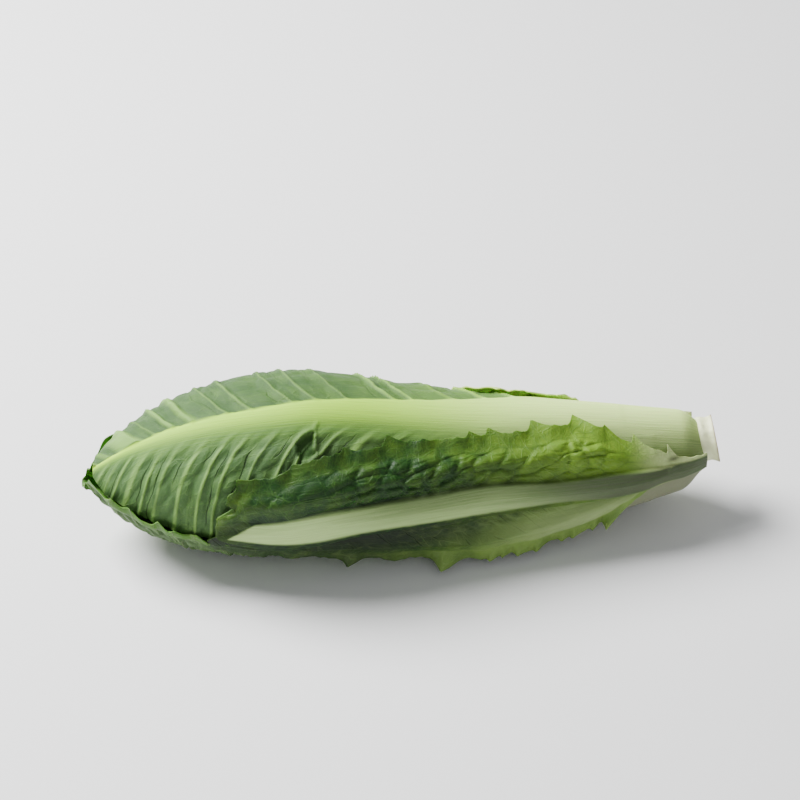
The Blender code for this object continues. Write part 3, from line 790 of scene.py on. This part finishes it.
def far_leaf(pile, material):
    """The leaf at the back. Its light, frilled edge shows above the rib of the top leaf."""
    leaf = Leaf(
        "far_leaf", (0.09, 0.955),
        low=[(0.09, 160), (0.3, 161), (0.5, 156), (0.57, 148), (0.6, 136), (0.63, 125), (0.68, 122),
             (0.74, 123), (0.77, 128), (0.955, 129)],
        rib=[(0, 192), (1, 186)],
        high=[(0.09, 210), (0.3, 230), (0.55, 228), (0.8, 210), (0.955, 206)],
        columns=(50, 40), fullness=0.885,
        teeth=(FAR_TEETH, None))
    rib = leaf.rib_mask([(0.1, 0.002), (1, 0.013)], 0.4)
    swelling, crease, phase, distance = leaf.veins((17, 17), 0.85, 0.035, 0.02, 0.0006, 31)
    puff = plump(phase, distance, 0.01, 33)
    frill = leaf.frill(0.003, 2.5, 70, 8)
    # lip: its outer side takes those bright upper colours, partly painted light.
    lip = ramp(0.01, 0.0, leaf.low_edge) * leaf.ramp(0.58, 0.62)
    leaf.marks.update(
        rib=rib, puff=0.4 + 0.5 * puff, crease=0.0, vein=0.4 * leaf.marks["vein"],
        grown=leaf.ramp(0.1, 0.9), turned=lip, base=leaf.ramp(0.75, 0.82))
    ridge = rib_ridge(leaf, rib, 0.0042)
    relief = (1 - rib) * (0.001 * swelling - 0.0007 * crease + 0.0009 * (puff - 0.5))
    hugged = 0.006 * ramp(0.016, 0.002, leaf.low_edge) * leaf.ramp(0.5, 0.58)
    leaf.lay(pile, SHEET + ridge, RIB_PROUD * ridge + relief - hugged)
    leaf.cover(pile)
    add_leaf(leaf, material, lift=lip * (0.0002 + 0.0006 * frill))


BOTTOM_TEETH = teeth_line([(0.02, 0.004, 0.006)], 73, 0.0026, 0.01, fade=(0.6, 0.4))
LOWER_TEETH = teeth_line(
    [(0.405, 0.004, 0.006), (0.55, 0.007, 0.01), (0.624, 0.003, 0.005), (0.643, 0.0025, 0.004),
     (0.668, 0.004, 0.006), (0.697, 0.0025, 0.005), (0.738, 0.003, 0.005), (0.755, 0.003, 0.005),
     (0.788, 0.0035, 0.005), (0.812, 0.008, 0.007)], 75, 0.0008, 0.005)
FRONT_TEETH = teeth_line(
    [(0.243, 0.003, 0.005), (0.327, 0.002, 0.004), (0.405, 0.003, 0.005), (0.473, 0.0055, 0.007),
     (0.597, 0.003, 0.005), (0.628, 0.0045, 0.006), (0.697, 0.0055, 0.007), (0.763, 0.006, 0.008),
     (0.808, 0.0035, 0.006), (0.852, 0.005, 0.004), (0.905, 0.0045, 0.003)], 77, 0.0012, 0.0055)


def bottom_leaf(pile, material):
    """The leaf the head lies on. Its thin edge curls out along the front of the nose."""
    leaf = Leaf(
        "bottom_leaf", (0.0012, 0.97),
        low=[(0.004, 130), (0.03, 148), (0.06, 163), (0.1, 178), (0.2, 202), (0.35, 206),
             (0.6, 222), (0.85, 246), (0.96, 236)],
        rib=[(0.02, 284), (0.5, 284), (0.8, 296), (0.96, 306)],
        high=[(0.004, 380), (0.05, 371), (0.09, 361), (0.18, 350), (0.4, 341), (0.7, 344),
              (0.85, 358), (0.96, 368)],
        columns=(60, 84), fullness=1.0, tip=0.012,
        teeth=(None, BOTTOM_TEETH))
    rib = leaf.rib_mask([(0.1, 0.002), (0.7, 0.01), (0.9, 0.03)], 0.4) * leaf.ramp(0.02, 0.08)
    swelling, crease, phase, distance = leaf.veins((18, 22), 0.85, 0.035, 0.02, 0.0006, 41)
    puff = plump(phase, distance, 0.009, 43)
    edge = ramp(0.008, 0.0, leaf.high_edge)
    shown = leaf.ramp(0.45, 0.3)
    nose = leaf.ramp(0.035, 0.005)
    frill = leaf.frill(0.0021, 3.0, 70, 9)
    turned_edge = ramp(0.3, 0.7, edge + 0.25 * frill * edge) * shown
    leaf.marks.update(
        rib=rib, puff=0.3 + 0.6 * puff, grown=leaf.ramp(0.1, 0.95), crease=0.6,
        turned=np.maximum(turned_edge, leaf.ramp(0.03, 0.015)))
    ridge = rib_ridge(leaf, rib, 0.0036)
    bare = (1 - rib) * leaf.ramp(0.95, 0.7)
    relief = bare * (0.001 * swelling - 0.0006 * crease + 0.0016 * (puff - 0.55))
    relief = relief - 0.002 * leaf.ramp(0.1, 0.03)
    leaf.lay(pile, SHEET + ridge, RIB_PROUD * ridge + relief)
    leaf.cover(pile)
    lift = edge * shown * (0.0006 + 0.0011 * frill) + edge * nose * 0.0008
    add_leaf(leaf, material, lift=lift)


LOWER_RIB = [(0.19, -12), (0.4, -18), (0.55, -20), (0.73, -18), (0.82, -11), (0.872, 2)]


def lower_leaf(pile, material):
    """The loose leaf under the front one, its upper side out and its toothed edge standing off."""
    leaf = Leaf(
        "lower_leaf", (0.19, 0.872),
        low=[(0.19, -16), (0.27, -24), (0.34, -27), (0.4, -31), (0.5, -33), (0.62, -34), (0.78, -34),
             (0.815, -30), (0.84, -16), (0.872, -4)],
        rib=LOWER_RIB,
        high=[(0.19, -6), (0.3, 2), (0.5, 9), (0.872, 12)],
        columns=(80, 40), fullness=1.01, tip=0.03)
    rib = leaf.rib_mask([(0.2, 0.0005), (0.5, 0.0015), (0.62, 0.004), (0.8, 0.006)], 0.5,
                        [(0.2, 0.0005), (0.5, 0.002), (0.62, 0.005), (0.8, 0.01)])
    swelling, _, phase, distance = leaf.veins((17, 17), 0.9, 0.025, 0.018, 0.0005, 51)
    puff = plump(phase, distance, 0.007, 53)
    free = np.clip((8 - leaf.direction) / 42, 0.0, 1.2)
    frill = leaf.frill(0.0036, 2.5, 60, 12)
    lip = ramp(0.01, 0.0, leaf.low_edge)
    strip = ramp(0.0062, 0.005, leaf.inward) * (leaf.across < 0)  # the lit strip along the edge
    # Painted shade: strong in the recess between the rib and the front leaf, less towards the base, and on
    # the tip half below the rib.
    recess_shade = ramp(-3.0, 6.0, leaf.direction - smooth_curve(LOWER_RIB)(leaf.share))
    pale = (1 - strip) * leaf.ramp(0.55, 0.72)
    leaf.marks.update(
        rib=0.8 * rib * pale, puff=0.6, margin=0.6 * lip, crease=0.7 * (1 - strip),
        dim=(1 - strip) * recess_shade * (0.95 - 0.65 * leaf.ramp(0.42, 0.7))
        + 0.6 * (1 - recess_shade) * leaf.ramp(0.6, 0.4),
        vein=0.4 * leaf.marks["vein"] * pale,
        grown=(1 - strip) * leaf.ramp(0.44, 0.85) * (0.3 + 0.8 * free)
        + strip * leaf.ramp(0.25, 0.75) * 0.6)
    ridge = rib_ridge(leaf, rib, 0.0022)
    relief = (1 - rib) * (0.0009 * (puff - 0.5) - 0.0003 * swelling)
    leaf.lay(pile, SHEET + ridge, 0.4 * ridge + relief)
    leaf.cover(pile)
    flare = smooth_curve([(0.19, 0.0), (0.3, 0.001), (0.4, 0.0035), (0.5, 0.0065), (0.6, 0.0095),
                          (0.7, 0.008), (0.76, 0.0045), (0.8, 0.002), (0.872, 0.0)])(leaf.share)
    reach = LOWER_TEETH(leaf.share) * ramp(0.006, 0.0, leaf.low_edge)
    off = np.stack([-0.3 * reach, -0.95 * reach, -0.25 * reach], axis=-1)
    add_leaf(leaf, material, lift=flare * free**1.4 + 0.0007 * frill * lip, off=off,
             upper_side_out=True)


def front_blisters(leaf, bare):
    """Large, uneven blisters with small ones on them: how near a crown each place is, and how
    far it stands out."""
    swirl = 0.9 * leaf.rough(45, 62)
    large = cells((leaf.along - 0.5 * leaf.across) / 0.0115 + swirl, leaf.across / 0.0068 + swirl, 63)
    small = cells(leaf.along / 0.0052 + swirl, leaf.across / 0.004 - swirl, 64)
    uneven = np.maximum(0.8 + 0.6 * leaf.rough(45, 65), 0.15) * (0.35 + 0.65 * leaf.ramp(0.33, 0.43))
    crowns = dome(large, 0.8)
    height = 0.0019 * (crowns - 0.4) + 0.0005 * dome(small, 0.6)
    return crowns, bare * leaf.ramp(0.9, 0.76) * uneven * height


def front_leaf(pile, material):
    """The loose leaf in front, its upper side out: a pale rib below a blistered, toothed blade."""
    leaf = Leaf(
        "front_leaf", (0.205, 0.965),
        low=[(0.2, -3), (0.24, -8), (0.31, -14), (0.42, -7), (0.6, 0), (0.8, 1), (0.9, 2), (0.965, 4)],
        rib=[(0.2, -2), (0.24, 0), (0.313, -0.3), (0.363, 1.5), (0.423, 5), (0.52, 10), (0.617, 14.7),
             (0.73, 14), (0.9, 12), (0.965, 14)],
        high=[(0.2, 4), (0.217, 18), (0.243, 32), (0.293, 35), (0.327, 40), (0.393, 47), (0.45, 51),
              (0.5, 56), (0.56, 59), (0.66, 64), (0.737, 70), (0.77, 71), (0.8, 66), (0.83, 56),
              (0.86, 49), (0.89, 40), (0.925, 30), (0.965, 27)],
        columns=(26, 110), fullness=1.05, tip=0.012,
        teeth=(None, FRONT_TEETH))
    band = [(0.205, 0.0006), (0.24, 0.0034), (0.313, 0.0066), (0.363, 0.0074), (0.423, 0.0068),
            (0.52, 0.0068), (0.617, 0.0065), (0.733, 0.0048), (0.807, 0.0056), (0.89, 0.0037)]
    flap_line = leaf.share - 0.237 - 5.4 * leaf.across + 0.006 * rough(leaf.across * 300, leaf.along * 60, 66)
    rib = leaf.rib_mask(band, 0.16) * ramp(-0.003, 0.003, flap_line)
    leaf.veins((10, 17), 0.9, 0.03, 0.022, 0.0005, 61)
    strip = ramp(0.0085, 0.006, leaf.inward) * (leaf.across > 0)  # flat, inside the teeth
    crowns, blisters = front_blisters(leaf, (1 - rib) * (1 - strip))
    upper_edge = smooth_curve(band)(leaf.share)
    shade = 0.3 + 0.6 * ramp(-1.0, 1.0, leaf.across / upper_edge)
    # Painted shade: along the rib's upper edge, except near the base, and in a small pocket near the base.
    pocket_shadow = hump(leaf.share - 0.91, 0.012) * hump(leaf.across - 0.0065, 0.0012)
    shade_above_rib = ramp(0.006, 0.0, leaf.across - upper_edge) * leaf.ramp(0.86, 0.7)
    leaf.marks.update(
        rib=rib, puff=0.15 + 0.75 * crowns * (1 - 0.5 * strip), margin=strip,
        shade=shade * leaf.ramp(0.32, 0.52), vein=0.12 * leaf.marks["vein"] * (1 - rib), crease=0.0,
        grown=leaf.ramp(0.46, 0.9) + 0.2 * leaf.ramp(0.27, 0.23) + 0.14 * strip,
        base=leaf.ramp(0.83, 0.91), dim=0.5 * shade_above_rib + 0.9 * pocket_shadow)
    ridge = rib_ridge(leaf, rib, 0.0026)
    from_groove = np.abs(leaf.across - upper_edge - 0.001)
    groove = ramp(0.0025, 0.0, from_groove) * leaf.ramp(0.3, 0.4)
    belly = ramp(0.006, 0.018, leaf.across) * ramp(0.002, 0.014, leaf.inward)
    twist = leaf.ramp(0.86, 0.93) * ramp(0.006, 0.0, leaf.inward)
    relief = blisters + 0.0038 * belly - 0.0014 * groove + 0.0014 * twist + 0.0006
    leaf.lay(pile, SHEET + ridge, 0.5 * ridge + relief)
    leaf.cover(pile)
    frill = leaf.frill(0.0034, 2, 60, 14)
    lip = ramp(0.008, 0.0, leaf.high_edge)
    flap = leaf.ramp(0.262, 0.215) * ramp(0.004, 0.01, leaf.across)
    crinkle = rough(leaf.across * 260, leaf.along * 120, 15)
    lobes = 0.5 + 0.5 * np.sin(leaf.across / 0.0017 + 2 * crinkle)
    off = np.stack([flap**2 * (0.006 * lobes - 0.001), 0 * flap, 0 * flap], axis=-1)
    lift = lip * (0.0007 + 0.0008 * frill) + flap * (0.0016 + 0.0014 * crinkle)
    add_leaf(leaf, material, lift=lift, off=off, upper_side_out=True)


# --- The stem ---

CUT_TILT = 13.0
CUT_TURN = 80.0
CUT_RADIUS = 0.0112
COLLAR_RADIUS = 0.0104
NECK_RADIUS = 0.009
STUMP_RISE = 0.003  # the stump sits high among the leaf bases
CUT_SET_BACK = 0.0012
STEM_START = 0.125
STEM_RADII = [(0.0, NECK_RADIUS), (0.5, NECK_RADIUS), (0.68, COLLAR_RADIUS), (0.86, 0.0101),
              (1.0, CUT_RADIUS)]
STEM_TURNS, STEM_LENGTHS, STEM_RINGS = 140, 60, 26  # points round it, along it and across its cut


def stem_points():
    """Rows of points along the core's end, then in over its cut face. Also, for each row, how far
    along it lies, how far out it spreads on the face, and whether it is on the face."""
    turn = np.linspace(0, 2 * np.pi, STEM_TURNS, endpoint=False)[None, :]
    tilt, rise = math.radians(CUT_TILT), math.radians(CUT_TURN)
    normal = (math.cos(tilt), -math.cos(rise) * math.sin(tilt), math.sin(rise) * math.sin(tilt))
    middle = (HEAD_LENGTH / 2 - CUT_SET_BACK - COLLAR_RADIUS * math.sin(tilt), AXIS_Y,
              float(axis_height(1.0)) + STUMP_RISE)

    part = np.linspace(0, 1, STEM_LENGTHS)[:, None]
    lumps = 1 + 0.035 * rough(4 * np.cos(turn) + 9, 4 * np.sin(turn) + 6 * part, 81)
    radius = smooth_curve(STEM_RADII)(part) * lumps
    inwards = np.linspace(1, 0, STEM_RINGS + 1)[1:, None]
    radius = np.concatenate((radius, radius[-1:] * inwards))
    out, up = -np.cos(turn) * radius, np.sin(turn) * radius
    end = middle[0] - (normal[1] * out + normal[2] * up) / normal[0]
    along = np.concatenate((part, np.ones((STEM_RINGS, 1))))
    spread = np.concatenate((np.ones((STEM_LENGTHS, 1)), inwards))
    on_face = np.concatenate((np.zeros((STEM_LENGTHS, 1)), np.ones((STEM_RINGS, 1))))
    sunk = 0.001 * ramp(1.0, 0.75, spread) + 0.0003 * rough(out * 700, up * 700, 83)
    x = STEM_START + (end - STEM_START) * along - on_face * sunk
    return np.stack([x, middle[1] + out, middle[2] + up], axis=-1), along, spread, on_face


def stem(material):
    """The end of the core: a lumpy collar and a cut face, a little sunken and browned at its rim."""
    points, along, spread, on_face = stem_points()
    mesh = closed_tube("stem", points)
    rim = hump(along - 1, 0.03) * (1 - on_face) + on_face * ramp(0.88, 1.0, spread)
    ring = hump(spread - 0.66, 0.06) * on_face
    for name, values in (("rim", rim), ("cut", on_face), ("ring", ring)):
        middles = np.array([0.0, float(name == "cut")])
        mark(mesh, name, np.repeat(values, STEM_TURNS, axis=1), middles)
    mesh.materials.append(material)
    piece = link(bpy.data.objects.new("stem_detail", mesh))
    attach(piece, "root")
    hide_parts("stem")


def closed_tube(name, points):
    """A tube through rows of points, closed at both ends to their middles."""
    rows, turns = points.shape[:2]
    number = np.arange(rows * turns).reshape(rows, turns)
    beside = np.roll(number, -1, axis=1)
    sides = np.stack([number[:-1], beside[:-1], beside[1:], number[1:]], axis=-1).reshape(-1, 4).tolist()
    start, end = rows * turns, rows * turns + 1
    sides += [[start, b, a] for a, b in zip(number[0].tolist(), beside[0].tolist())]
    ends = [points[0].mean(axis=0), points[-1].mean(axis=0)]
    sides += [[end, a, b] for a, b in zip(number[-1].tolist(), beside[-1].tolist())]
    mesh = bpy.data.meshes.new(name)
    mesh.from_pydata(np.concatenate((points.reshape(-1, 3), ends)), [], sides)
    mesh.polygons.foreach_set("use_smooth", np.ones(len(mesh.polygons), bool))
    return mesh


# --- The studio ---

CAMERA_AZIMUTH = -4.5
CAMERA_ELEVATION = 40.0
CAMERA_DISTANCE = 1.034
CAMERA_LENS = 100.0
AIM = (-0.002, 0.0, 0.0325)
AIM_RISE = 0.029  # the head lies this far below the middle of the frame

# Lights: name, place, size and power.
KEY_LIGHT = ("key", (-0.8, 0.5, 1.05), 0.9, 72.0)
FILL_LIGHT = ("fill", (0.3, -1.2, 0.9), 1.2, 3.0)
FLOOR_SIZE = 8.0
FLOOR_DROP = 0.0002  # keeps the floor from showing through the flat underside
FLOOR_COLOUR = (0.8, 0.8, 0.8, 1.0)
SKY_COLOUR = (0.95, 0.98, 1.0, 1.0)
SKY_STRENGTH = 0.36


def add_camera():
    turn, lift = math.radians(CAMERA_AZIMUTH), math.radians(CAMERA_ELEVATION)
    back = Vector((math.sin(turn) * math.cos(lift), -math.cos(turn) * math.cos(lift), math.sin(lift)))
    right = Vector((math.cos(turn), math.sin(turn), 0.0))
    up = back.cross(right)
    camera = link(bpy.data.objects.new("camera", bpy.data.cameras.new("camera")))
    camera.data.lens = CAMERA_LENS
    camera.matrix_world = (Matrix.Translation(Vector(AIM) + up * AIM_RISE + back * CAMERA_DISTANCE)
                           @ Matrix((right, up, back)).transposed().to_4x4())
    bpy.context.scene.camera = camera


def add_light(name, location, size, power):
    light = bpy.data.lights.new(name, "AREA")
    light.shape = "DISK"
    light.size = size
    light.energy = power
    lamp = link(bpy.data.objects.new(name, light))
    lamp.location = location
    lamp.rotation_euler = (-Vector(location)).to_track_quat("-Z", "Y").to_euler()


def add_studio():
    bpy.ops.mesh.primitive_plane_add(size=FLOOR_SIZE, location=(0.0, 0.0, -FLOOR_DROP))
    floor = bpy.context.active_object
    floor.name = "floor"
    paper = Shader("white_paper")
    paper.surface.inputs["Base Color"].default_value = FLOOR_COLOUR
    paper.surface.inputs["Roughness"].default_value = 0.8
    floor.data.materials.append(paper.material)
    world = bpy.data.worlds.new("studio")
    bpy.context.scene.world = world
    world.use_nodes = True
    sky = world.node_tree.nodes["Background"]
    sky.inputs["Color"].default_value = SKY_COLOUR
    sky.inputs["Strength"].default_value = SKY_STRENGTH
    add_light(*KEY_LIGHT)
    add_light(*FILL_LIGHT)


def main():
    kept = [node for name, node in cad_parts.items() if name not in REPLACED]
    green = leaf_material("green_leaf", GREEN_LEAF, 0.15, 0.12)
    bottom = leaf_material("bottom_leaf_skin", BOTTOM_LEAF, 0.15, 0.35)
    front = leaf_material("front_leaf_skin", FRONT_LEAF, 0.22, 0.28)
    light = leaf_material("light_leaf", LIGHT_LEAF, 0.25, 0.4)
    far = leaf_material("far_leaf_skin", FAR_LEAF, 0.2, 0.3)
    inner = cad_leaf_material("inner_leaf", LIGHT_LEAF)
    heart = cad_leaf_material("heart_leaf", HEART_LEAF)
    for node in kept:
        node.data.materials.clear()
        node.data.materials.append(heart if node.name.startswith("heart") else inner)

    pile = Pile(kept)
    back_lower_leaf(pile, green)
    top_leaf(pile, green)
    far_leaf(pile, far)
    bottom_leaf(pile, bottom)
    lower_leaf(pile, light)
    front_leaf(pile, front)
    stem(stem_material())
    add_camera()
    add_studio()


main()
